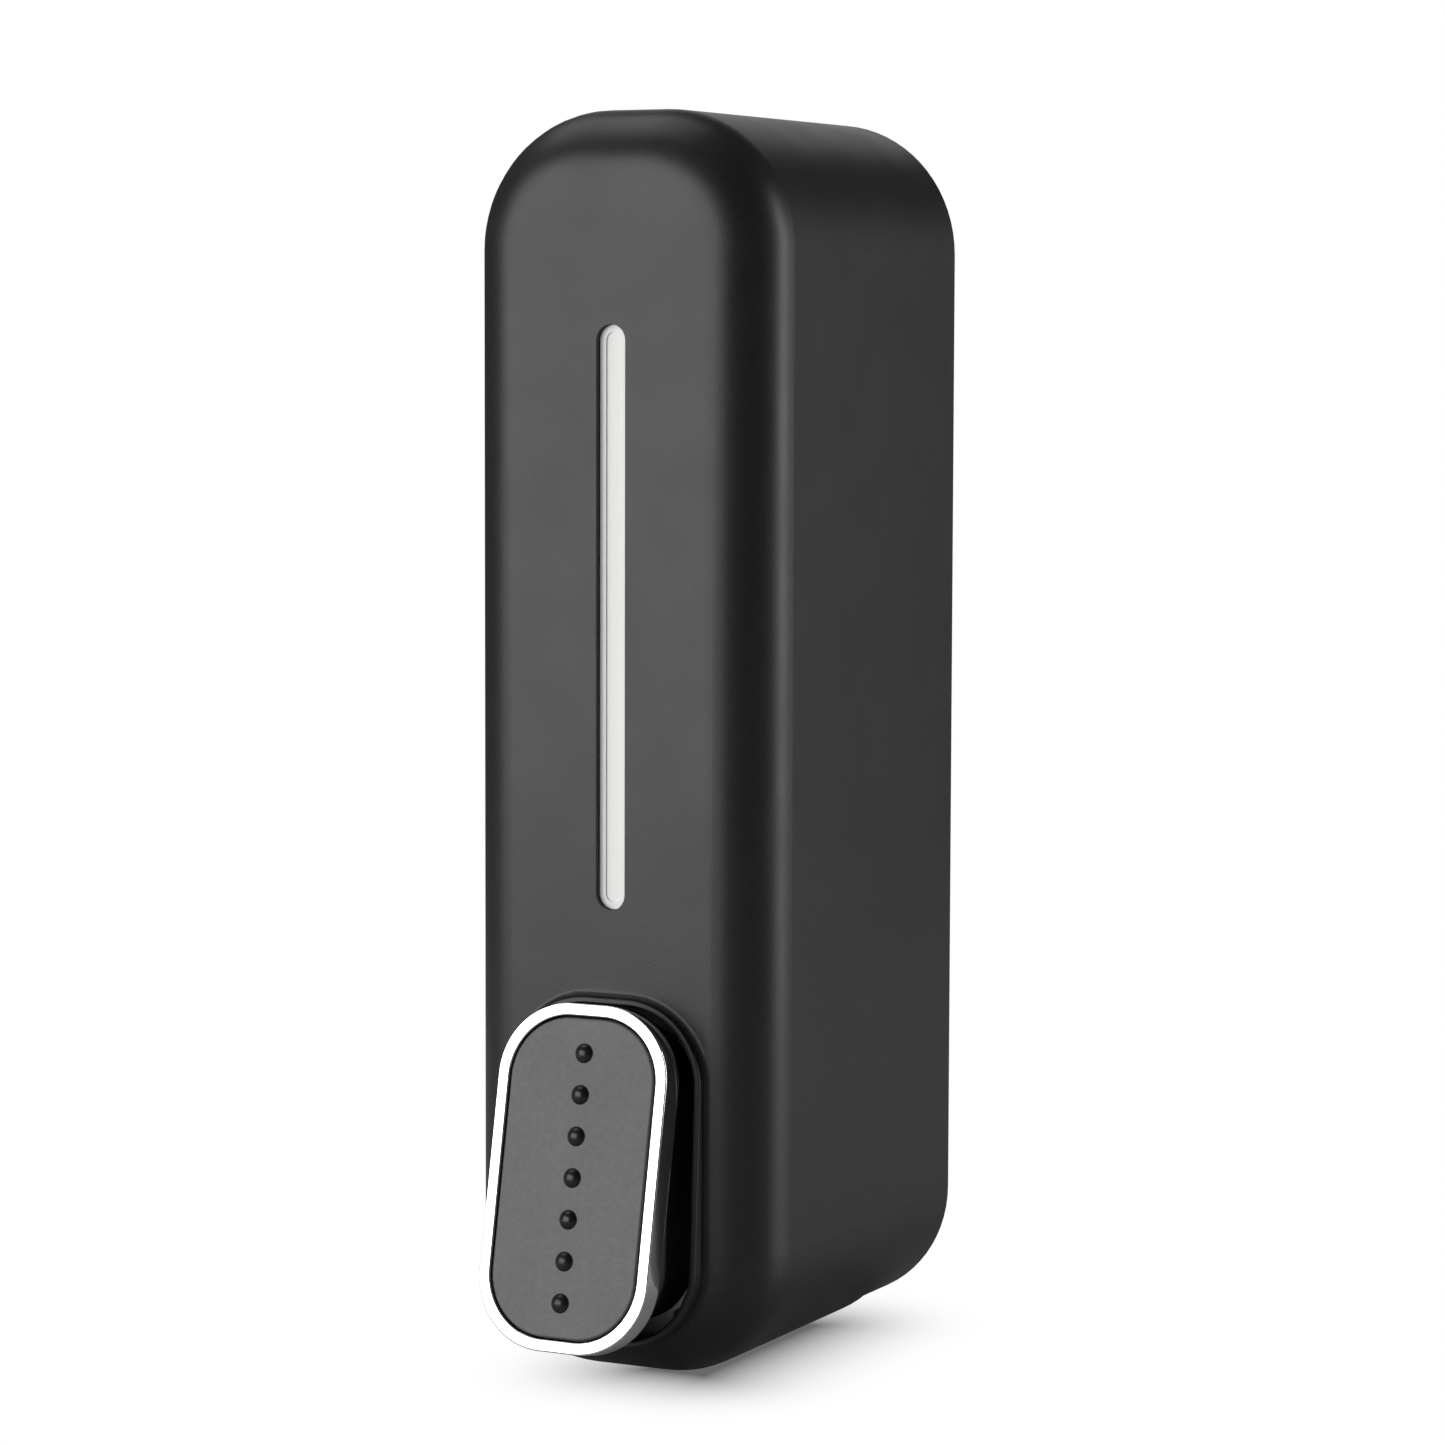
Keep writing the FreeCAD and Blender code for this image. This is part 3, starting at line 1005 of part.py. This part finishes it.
def make_plunger():
    """Crowned head, rod and grooved piston in one piece, with its seal and return spring."""
    front = back("post_reach") + " + dim.push_gap"
    rear = front + " + dim.head_length"
    crown = doc.addObject("Part::Cone", "head_crown")
    place(crown, "0", front, AXIS, *TURNS["Y"])
    bind(crown, "Radius1", "dim.head_tip_radius")
    bind(crown, "Radius2", "dim.head_radius")
    bind(crown, "Height", "dim.head_crown")
    head = level("head", front + " + dim.head_crown", rear, AXIS, "dim.head_radius")
    stem = level("stem", rear + " - dim.root", back("piston_front") + " + dim.root", AXIS, "dim.rod_radius")
    piston_rear = back("piston_front") + " + dim.piston_length"
    piston = level("piston", back("piston_front"), piston_rear, AXIS, PISTON_RADIUS)
    middle = back("piston_front") + " + dim.piston_length / 2"
    groove_front = middle + " - dim.groove_length / 2"
    groove_rear = middle + " + dim.groove_length / 2"
    core = PISTON_RADIUS + " - dim.groove_depth"
    groove = cut("groove",
                 level("groove_outer", groove_front, groove_rear, AXIS, PISTON_RADIUS + " + dim.over"),
                 level("groove_core", groove_front + " - dim.over", groove_rear + " + dim.over",
                       AXIS, core))
    solid = join("plunger_solid", crown, head, stem, piston)
    node(cut("plunger_rod", solid, groove), "plunger")
    node(cut("piston_ring",
             level("ring_outer", groove_front, groove_rear, AXIS,
                   "dim.barrel_bore - dim.piston_gap"),
             level("ring_core", groove_front + " - dim.over", groove_rear + " + dim.over", AXIS, core)),
         "piston_seal")
    start = rear + " + dim.spring_wire + dim.spring_gap"
    end = back("barrel_front") + " - dim.bush_flange - dim.spring_wire - dim.spring_gap"
    spring = coil("return_coil", start, AXIS, "(%s) - (%s)" % (end, start),
                  "dim.spring_radius", "dim.spring_wire", "dim.spring_turns", "Y")
    node(spring, "return_spring")


def make_nozzle():
    drum = upright("nozzle_drum", PORT, up("nozzle_low"), OUTLET_END, "dim.nozzle_radius")
    plug = upright("nozzle_plug", PORT, OUTLET_END, NOZZLE_PLUG, "dim.valve_bore")
    hole = upright("nozzle_hole", PORT, up("nozzle_low") + " - dim.over", NOZZLE_PLUG + " + dim.over",
                   "dim.seat_bore")
    node(cut("nozzle_part", join("nozzle_solid", drum, plug), hole), "nozzle")
    tip = upright("tip_drum", PORT, up("tip_low"), up("nozzle_low"), "dim.tip_radius")
    tip_hole = upright("tip_hole", PORT, up("tip_low") + " - dim.over", up("nozzle_low") + " + dim.over",
                       "dim.tip_bore")
    node(cut("tip", tip, tip_hole), "nozzle_tip")


# ---------------------------------------------------------------- key lock
def make_lock():
    along = back("lock_back")
    flange_top = "(dim.height / 2 - dim.lock_sink)"
    flange_low = "(%s - dim.lock_flange_thick)" % flange_top
    low = LOCK_LOW
    drum = join("lock_drum",
                upright("lock_flange_disc", along, flange_low, flange_top, "dim.lock_flange"),
                upright("lock_sleeve", along, low, flange_low, "dim.lock_barrel"))
    bore = upright("lock_bore", along, low + " - dim.over", flange_top + " + dim.over",
                   "dim.cylinder_radius + dim.run_gap")
    node(cut("lock", drum, bore), "lock_body")
    nut_top = "(dim.height / 2 - dim.wall - dim.nut_gap)"
    hexagon = doc.addObject("Part::Prism", "nut_hexagon")
    hexagon.Polygon = 6
    place(hexagon, "0", along, nut_top + " - dim.nut_thick")
    bind(hexagon, "Circumradius", "dim.nut_radius")
    bind(hexagon, "Height", "dim.nut_thick")
    node(cut("nut", hexagon, upright("nut_hole", along, nut_top + " - dim.nut_thick - dim.over",
                                     nut_top + " + dim.over", "dim.lock_barrel")), "lock_nut")
    cam_top = "(%s - dim.cam_gap)" % low
    cam_low = "(%s - dim.cam_thick)" % cam_top
    face = "(%s - dim.cylinder_sink)" % flange_top
    plug = join("cylinder_solid",
                upright("cylinder", along, cam_top, face, "dim.cylinder_radius"),
                upright("cylinder_tail", along, cam_low, cam_top, "dim.tail_radius"))
    slot = box("key_slot", *side_to_side("key_slot_width"), along + " - dim.key_slot_length / 2",
               along + " + dim.key_slot_length / 2", face + " - dim.key_slot_deep", face + " + dim.over")
    thread = upright("tail_hole", along, cam_low + " - dim.over", cam_low + " + dim.cam_thread",
                     "dim.cam_screw_radius")
    node(cut("lock_plug", plug, slot, thread), "lock_cylinder")
    make_cam(along, cam_low, cam_top)
    head = upright("cam_screw_head", along, cam_low + " - dim.cam_head_thick", cam_low,
                   "dim.cam_head_radius")
    shank = upright("cam_screw_shank", along, cam_low, cam_low + " + dim.cam_screw_grip",
                    "dim.cam_screw_radius")
    node(join("cam_screw_solid", head, shank), "cam_screw")


def make_cam(along, low, high):
    """Hook shaped cam; a quarter turn brings its hook behind the strike post."""
    hub = upright("cam_hub", along, low, high, "dim.cam_hub")
    arm = box("cam_bar", "0", HOOK_INNER + " + dim.hook_thick / 2", along + " - dim.cam_arm / 2",
              along + " + dim.cam_arm / 2", low, high)
    hook = doc.addObject("Part::Cylinder", "cam_hook_disc")
    place(hook, "0", along, low)
    bind(hook, "Radius", HOOK_INNER + " + dim.hook_thick")
    bind(hook, "Height", "(%s) - (%s)" % (high, low))
    bind(hook, "Angle", "dim.hook_span")
    inside = upright("cam_hook_inside", along, low + " - dim.over", high + " + dim.over", HOOK_INNER)
    tail_hole = upright("cam_hole", along, low + " - dim.over", high + " + dim.over", "dim.tail_radius")
    claw = cut("cam_claw", hook, inside)
    node(cut("cam", join("cam_solid", hub, arm, claw), tail_hole), "lock_cam")


# ---------------------------------------------------------------- build
def check_model():
    doc.recompute()
    for item in doc.Objects:
        if "Invalid" in item.State or "Error" in item.State:
            raise RuntimeError("%s failed: %s" % (item.Name, item.State))
    for item in nodes:
        if item.Shape.isNull() or not item.Shape.isValid() or item.Shape.Volume <= 0:
            raise RuntimeError("%s has no valid solid" % item.Label)


def write_parts():
    os.makedirs("parts", exist_ok=True)
    for item in nodes:
        item.Shape.exportStep("parts/%s.step" % item.Label)
        print("%-18s %2d solid  %10.1f mm3" % (
            item.Label, len(item.Shape.Solids), item.Shape.Volume))


make_housing()
make_window()
make_outlet_plate()
make_ring()
make_pad()
make_studs()
make_button_body()
make_back_plate()
make_tank_clip()
make_tank()
make_cap()
make_pump_body()
make_valves()
make_plunger()
make_nozzle()
make_lock()
check_model()
write_parts()
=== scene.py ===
"""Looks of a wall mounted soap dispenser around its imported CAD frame.

Units are metres, with +X to the right of someone who faces it, +Y into the wall and +Z up.
"""

import json
import math

import bpy
from mathutils import Matrix, Vector

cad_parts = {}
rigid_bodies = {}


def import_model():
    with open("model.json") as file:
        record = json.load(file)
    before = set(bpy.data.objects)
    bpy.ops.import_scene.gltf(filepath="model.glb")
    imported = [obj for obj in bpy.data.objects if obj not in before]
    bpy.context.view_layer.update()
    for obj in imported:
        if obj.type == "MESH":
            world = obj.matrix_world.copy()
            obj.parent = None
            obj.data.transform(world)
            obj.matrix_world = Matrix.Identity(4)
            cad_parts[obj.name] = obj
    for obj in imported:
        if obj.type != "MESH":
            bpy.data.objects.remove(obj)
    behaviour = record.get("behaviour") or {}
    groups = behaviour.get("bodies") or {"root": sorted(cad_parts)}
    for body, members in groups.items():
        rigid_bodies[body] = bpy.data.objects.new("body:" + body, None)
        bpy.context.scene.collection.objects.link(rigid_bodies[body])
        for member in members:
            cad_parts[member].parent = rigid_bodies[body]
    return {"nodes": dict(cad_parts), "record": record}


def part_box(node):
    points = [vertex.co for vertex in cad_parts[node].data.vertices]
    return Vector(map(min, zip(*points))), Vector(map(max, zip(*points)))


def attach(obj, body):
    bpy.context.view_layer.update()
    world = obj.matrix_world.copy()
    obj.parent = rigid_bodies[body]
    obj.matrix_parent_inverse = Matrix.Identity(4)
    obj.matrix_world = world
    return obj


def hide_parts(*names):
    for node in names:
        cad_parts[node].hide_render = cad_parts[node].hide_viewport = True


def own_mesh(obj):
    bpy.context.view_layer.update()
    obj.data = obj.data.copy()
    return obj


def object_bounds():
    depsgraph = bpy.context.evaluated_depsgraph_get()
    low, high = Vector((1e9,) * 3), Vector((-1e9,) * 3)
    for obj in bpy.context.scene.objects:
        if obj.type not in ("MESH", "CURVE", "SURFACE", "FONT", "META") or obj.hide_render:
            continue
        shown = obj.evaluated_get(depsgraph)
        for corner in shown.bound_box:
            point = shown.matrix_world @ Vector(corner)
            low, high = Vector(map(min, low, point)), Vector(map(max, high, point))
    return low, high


# Camera: turned about the vertical from straight in front, raised a little, with a long lens.
VIEW_AZIMUTH = 26.859
VIEW_ELEVATION = 4.761
VIEW_ROLL = 0.152
VIEW_DISTANCE = 0.7153
VIEW_LENS = 112.18
VIEW_SHIFT = (0.01255, -0.00956)
SENSOR = 36.0

# Where the camera looks: a point on the cover's front, this far to the right and up from the origin.
COVER_FRONT = -0.074
AIM_RIGHT = 0.016942
AIM_UP = 0.007235

# Light is given as radiance: 1 is the white of the backdrop.
BACKDROP_WHITE = 1.0
AMBIENT = 0.06

# The floor and the sheet that carries its shadow are squares, given by half their side.
FLOOR_HALF = 0.45
SHADOW_SHEET_HALF = 0.2

# The shadow on the floor is painted where the foot stands at rest: how dark it is there, the patch
# that it spreads from, how far it spreads to the sides and to the front, and how fast it fades.
SHADOW_DARKEST = 0.86
SHADOW_MIDDLE = (0.008, -0.045)
SHADOW_HALF = (0.005, 0.021)
SHADOW_REACH = (0.0305, 0.0343)
SHADOW_FADE = 2.27

# Noise textures lie mostly between these values.
NOISE_LOW = 0.3
NOISE_HIGH = 0.7

# How much lighter and darker than its mean the colour of a satin plastic gets.
SATIN_TINT = 0.12


def towards(azimuth, elevation):
    """Unit vector towards a place round the object; azimuth 0 is straight in front and 90 is +X."""
    a, e = math.radians(azimuth), math.radians(elevation)
    return Vector((math.sin(a) * math.cos(e), -math.cos(a) * math.cos(e), math.sin(e)))


# ---------------------------------------------------------------- materials

class Finish:
    """One node material with a Principled shader, built up call by call."""

    def __init__(self, name, colour, roughness, metallic=0.0, **sockets):
        self.material = bpy.data.materials.new(name)
        self.material.use_nodes = True
        self.tree = self.material.node_tree
        self.shader = next(n for n in self.tree.nodes if n.type == "BSDF_PRINCIPLED")
        self.place = self.add("ShaderNodeTexCoord").outputs["Object"]
        self.height = None
        self.set("Base Color", (*colour, 1.0))
        self.set("Roughness", roughness)
        self.set("Metallic", metallic)
        for socket, value in sockets.items():
            self.set(socket.replace("_", " "), value)

    def add(self, kind, **settings):
        node = self.tree.nodes.new(kind)
        for key, value in settings.items():
            setattr(node, key, value)
        return node

    def link(self, output, target):
        self.tree.links.new(output, target)

    def set(self, socket, value):
        self.shader.inputs[socket].default_value = value

    def noise(self, size, detail=3.0, stretch=(1, 1, 1)):
        """Noise whose features are about size metres across."""
        scaled = self.add("ShaderNodeMapping")
        scaled.inputs["Scale"].default_value = stretch
        self.link(self.place, scaled.inputs["Vector"])
        texture = self.add("ShaderNodeTexNoise")
        texture.inputs["Scale"].default_value = 1 / size
        texture.inputs["Detail"].default_value = detail
        self.link(scaled.outputs["Vector"], texture.inputs["Vector"])
        return texture.outputs["Fac"]

    def between(self, value, low, high):
        """The value stretched from where noise mostly lies to low-high."""
        span = self.add("ShaderNodeMapRange")
        ends = {"From Min": NOISE_LOW, "From Max": NOISE_HIGH, "To Min": low, "To Max": high}
        for socket, number in ends.items():
            span.inputs[socket].default_value = number
        self.link(value, span.inputs["Value"])
        return span.outputs["Result"]

    def vary_roughness(self, size, low, high, stretch=(1, 1, 1)):
        roughness = self.between(self.noise(size, stretch=stretch), low, high)
        self.link(roughness, self.shader.inputs["Roughness"])
        return self

    def vary_colour(self, size, dark, light, detail=4.0):
        mix = self.add("ShaderNodeMix", data_type="RGBA")
        self.link(self.between(self.noise(size, detail), 0.0, 1.0), mix.inputs["Factor"])
        mix.inputs["A"].default_value = (*dark, 1.0)
        mix.inputs["B"].default_value = (*light, 1.0)
        self.link(mix.outputs["Result"], self.shader.inputs["Base Color"])
        return self

    def grain(self, size, depth, detail=2.0, stretch=(1, 1, 1)):
        """Raised grain of this size and depth in metres. Calls add up, coarse first."""
        bump = self.add("ShaderNodeBump")
        bump.inputs["Distance"].default_value = depth
        self.link(self.noise(size, detail, stretch), bump.inputs["Height"])
        if self.height is not None:
            self.link(self.height, bump.inputs["Normal"])
        self.height = bump.outputs["Normal"]
        self.link(self.height, self.shader.inputs["Normal"])
        return self


def satin(name, grey, roughness=0.40):
    """Moulded charcoal plastic with a fine spark-eroded grain and a slight unevenness."""
    light = tuple((1 + SATIN_TINT) * c for c in grey)
    dark = tuple((1 - SATIN_TINT) * c for c in grey)
    finish = Finish(name, grey, roughness, IOR=1.5)
    finish.vary_colour(0.0009, dark, light)
    finish.vary_roughness(0.012, roughness - 0.02, roughness + 0.03)
    finish.grain(0.010, 0.00003)
    return finish.grain(0.00035, 0.000012)


def chrome(name):
    """Bright plating over moulded plastic: a mirror with a faint long-wave unevenness."""
    finish = Finish(name, (0.93, 0.93, 0.94), 0.035, metallic=1.0)
    finish.vary_roughness(0.004, 0.025, 0.055)
    return finish.grain(0.006, 0.000004)


def steel(name, grey, roughness, stretch):
    """Drawn or rolled steel with fine lines along one direction."""
    finish = Finish(name, (grey, grey, 1.01 * grey), roughness, metallic=1.0)
    finish.vary_roughness(0.0006, 0.8 * roughness, 1.3 * roughness, stretch)
    return finish.grain(0.0003, 0.00001, stretch=stretch)


def moulded(name, colour, roughness, **sockets):
    """Plain moulded plastic inside the cover."""
    finish = Finish(name, colour, roughness, **sockets)
    finish.vary_roughness(0.006, roughness - 0.05, roughness + 0.06)
    finish.grain(0.012, 0.00004)
    return finish.grain(0.0006, 0.000008)


def rubber(name, colour):
    finish = Finish(name, colour, 0.62, IOR=1.45)
    finish.vary_roughness(0.003, 0.55, 0.72)
    return finish.grain(0.0004, 0.00001)


def make_finishes():
    charcoal = (0.0125, 0.0125, 0.0130)
    return {
        "housing": satin("housing_satin", charcoal),
        "outlet_plate": satin("outlet_plate_satin", charcoal, 0.44),
        "lens": moulded("lens_milky", (0.86, 0.86, 0.84), 0.16),
        "lens_frame": satin("lens_frame_satin", (0.004, 0.004, 0.004), 0.5),
        "ring": chrome("ring_chrome"),
        "pad": satin("pad_grain", (0.094, 0.094, 0.095), 0.46),
        "studs": moulded("studs_gloss", (0.006, 0.006, 0.006), 0.3),
        "lever": satin("lever_black", (0.004, 0.004, 0.004), 0.55),
        "steel": steel("pin_steel", 0.55, 0.28, (1, 8, 8)),
        "back_plate": moulded("back_plate_grey", (0.045, 0.045, 0.047), 0.5),
        "spring_steel": steel("spring_steel", 0.5, 0.25, (1, 1, 1)),
        "tank": moulded("tank_natural", (0.78, 0.80, 0.80), 0.3),
        "cap": moulded("cap_white", (0.75, 0.75, 0.74), 0.38),
        "seal": rubber("seal_black", (0.02, 0.02, 0.02)),
        "pump": moulded("pump_white", (0.70, 0.71, 0.72), 0.4),
        "plunger": moulded("plunger_blue", (0.03, 0.10, 0.32), 0.3),
        "nozzle": moulded("nozzle_white", (0.70, 0.71, 0.72), 0.4),
        "nozzle_tip": rubber("nozzle_silicone", (0.45, 0.45, 0.44)),
        "lock": steel("lock_nickel", 0.72, 0.14, (1, 1, 6)),
        "zinc": steel("zinc_plate", 0.6, 0.32, (1, 1, 1)),
    }


def finish_nodes(nodes, record, finishes):
    """Gives each CAD node the finish of its slot in the record."""
    for part in record["subparts"]:
        materials = nodes[part["node"]].data.materials
        materials.clear()
        materials.append(finishes[part["material_slot"]].material)


def make_springs(nodes, record, finishes):
    """Stands a copy in for each spring of the record, hides the original and carries the copy on its joint's
    parent body.
    """
    slots = {part["node"]: part["material_slot"] for part in record["subparts"]}
    for joint in record["behaviour"]["joints"]:
        for spring in joint.get("deforming_nodes", []):
            node = spring["node"]
            letter = spring["mode"][-1]
            axis = "xyz".index(letter)
            fixed = spring["fixed_end_%s_m" % letter]
            low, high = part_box(node)
            anchor = (low + high) / 2
            anchor[axis] = fixed
            copy = bpy.data.objects.new(node + "_coil", nodes[node].data.copy())
            copy.matrix_world = nodes[node].matrix_world
            bpy.context.scene.collection.objects.link(copy)
            copy.data.materials.clear()
            copy.data.materials.append(finishes[slots[node]].material)
            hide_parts(node)
            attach(copy, joint["parent"])
            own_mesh(copy)


# ------------------------------------------------------------------- stage

def softbox(name, aim, azimuth, elevation, distance, width, height, radiance):
    """A rectangular light that faces the aim point from the given side and distance."""
    light = bpy.data.lights.new(name, "AREA")
    light.shape = "RECTANGLE"
    light.size, light.size_y = width, height
    light.energy = radiance * math.pi * width * height
    box = bpy.data.objects.new(name, light)
    away = towards(azimuth, elevation)
    box.location = aim + distance * away
    box.rotation_mode = "QUATERNION"
    box.rotation_quaternion = away.to_track_quat("Z", "Y")
    box.visible_camera = False
    bpy.context.scene.collection.objects.link(box)


def make_lights(low, high):
    aim = (low + high) / 2
    softbox("key_light", aim, azimuth=-28, elevation=9, distance=0.9, width=1.06, height=0.72, radiance=3.2)
    softbox("strip_light", aim, azimuth=117, elevation=5, distance=0.8, width=0.14, height=0.8, radiance=7.0)
    softbox("side_light", aim, azimuth=137, elevation=-6, distance=1.0, width=0.3, height=1.0, radiance=1.0)
    softbox("rear_light", aim, azimuth=200, elevation=12, distance=1.0, width=0.5, height=0.8, radiance=0.75)
    softbox("top_light", aim, azimuth=-100, elevation=66, distance=0.8, width=0.6, height=0.6, radiance=1.3)


def make_world():
    """White for the camera, and a dim even surrounding for everything that is lit."""
    world = bpy.data.worlds.new("studio")
    world.use_nodes = True
    tree = world.node_tree
    surround = next(n for n in tree.nodes if n.type == "BACKGROUND")
    surround.inputs["Color"].default_value = (1, 1, 1, 1)
    surround.inputs["Strength"].default_value = AMBIENT
    backdrop = tree.nodes.new("ShaderNodeBackground")
    backdrop.inputs["Color"].default_value = (1, 1, 1, 1)
    backdrop.inputs["Strength"].default_value = BACKDROP_WHITE
    path = tree.nodes.new("ShaderNodeLightPath")
    mix = tree.nodes.new("ShaderNodeMixShader")
    output = next(n for n in tree.nodes if n.type == "OUTPUT_WORLD")
    tree.links.new(path.outputs["Is Camera Ray"], mix.inputs["Fac"])
    tree.links.new(surround.outputs["Background"], mix.inputs[1])
    tree.links.new(backdrop.outputs["Background"], mix.inputs[2])
    tree.links.new(mix.outputs["Shader"], output.inputs["Surface"])
    bpy.context.scene.world = world


def flat_sheet(name, rise, half):
    """A level square of the stage at this height."""
    mesh = bpy.data.meshes.new(name)
    outline = [(-half, -half, rise), (half, -half, rise), (half, half, rise), (-half, half, rise)]
    mesh.from_pydata(outline, [], [(0, 1, 2, 3)])
    sheet = bpy.data.objects.new(name, mesh)
    bpy.context.scene.collection.objects.link(sheet)
    return sheet


def make_floor(low):
    """Pale floor that only throws light back up; the camera sees the backdrop through it."""
    floor = flat_sheet("floor", low.z, FLOOR_HALF)
    finish = Finish("floor_pale", (0.6, 0.6, 0.6), 0.9)
    finish.vary_colour(0.2, (0.59, 0.59, 0.59), (0.61, 0.61, 0.61))
    floor.data.materials.append(finish.material)
    floor.visible_camera = False
    floor.visible_shadow = False


def make_contact_shadow(low):
    """Soft shadow on the floor round the foot, which fades out with distance from it."""
    sheet = flat_sheet("contact_shadow", low.z, SHADOW_SHEET_HALF)
    material = bpy.data.materials.new("contact_shadow")
    material.use_nodes = True
    tree = material.node_tree
    tree.nodes.remove(next(n for n in tree.nodes if n.type == "BSDF_PRINCIPLED"))

    def node(kind, *inputs, **settings):
        new = tree.nodes.new(kind)
        for key, value in settings.items():
            setattr(new, key, value)
        for index, value in enumerate(inputs):
            if isinstance(value, bpy.types.NodeSocket):
                tree.links.new(value, new.inputs[index])
            elif value is not None:
                new.inputs[index].default_value = value
        return new

    def calculate(operation, first, second=None):
        return node("ShaderNodeMath", first, second, operation=operation).outputs[0]

    place = node("ShaderNodeSeparateXYZ", node("ShaderNodeTexCoord").outputs["Object"]).outputs
    outside = []
    for axis, (middle, half, reach) in enumerate(zip(SHADOW_MIDDLE, SHADOW_HALF, SHADOW_REACH)):
        offset = calculate("ABSOLUTE", calculate("SUBTRACT", place[axis], middle))
        beyond = calculate("MAXIMUM", calculate("SUBTRACT", offset, half), 0.0)
        share = calculate("DIVIDE", beyond, reach)
        outside.append(calculate("MULTIPLY", share, share))
    distance = calculate("SQRT", calculate("ADD", *outside))
    near = calculate("SUBTRACT", 1.0, calculate("MINIMUM", distance, 1.0))
    shade = calculate("MULTIPLY", calculate("POWER", near, SHADOW_FADE), SHADOW_DARKEST)
    clear = node("ShaderNodeBsdfTransparent").outputs[0]
    dark = node("ShaderNodeEmission", (0, 0, 0, 1)).outputs[0]
    mix = node("ShaderNodeMixShader", shade, clear, dark)
    output = next(n for n in tree.nodes if n.type == "OUTPUT_MATERIAL")
    tree.links.new(mix.outputs[0], output.inputs["Surface"])
    sheet.data.materials.append(material)
    for ray in ("diffuse", "glossy", "transmission", "volume_scatter", "shadow"):
        setattr(sheet, "visible_" + ray, False)


def make_camera():
    """A camera at the viewing angle, level apart from a slight roll."""
    aim = Vector((AIM_RIGHT, COVER_FRONT, AIM_UP))
    away = towards(VIEW_AZIMUTH, VIEW_ELEVATION)
    azimuth, roll = math.radians(VIEW_AZIMUTH), math.radians(VIEW_ROLL)
    right = Vector((math.cos(azimuth), math.sin(azimuth), 0))
    up = away.cross(right)
    turned_right = math.cos(roll) * right + math.sin(roll) * up
    turned_up = math.cos(roll) * up - math.sin(roll) * right
    data = bpy.data.cameras.new("camera")
    data.sensor_width = SENSOR
    data.lens = VIEW_LENS
    data.shift_x, data.shift_y = VIEW_SHIFT
    data.dof.use_dof = False
    camera = bpy.data.objects.new("camera", data)
    place = Matrix((turned_right, turned_up, away)).transposed().to_4x4()
    place.translation = aim + VIEW_DISTANCE * away
    camera.matrix_world = place
    bpy.context.scene.collection.objects.link(camera)
    bpy.context.scene.camera = camera


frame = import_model()
cad_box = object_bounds()
finishes = make_finishes()
finish_nodes(frame["nodes"], frame["record"], finishes)
make_springs(frame["nodes"], frame["record"], finishes)
make_world()
make_lights(*cad_box)
make_floor(cad_box[0])
make_contact_shadow(cad_box[0])
make_camera()
bpy.context.scene.view_settings.view_transform = "Standard"
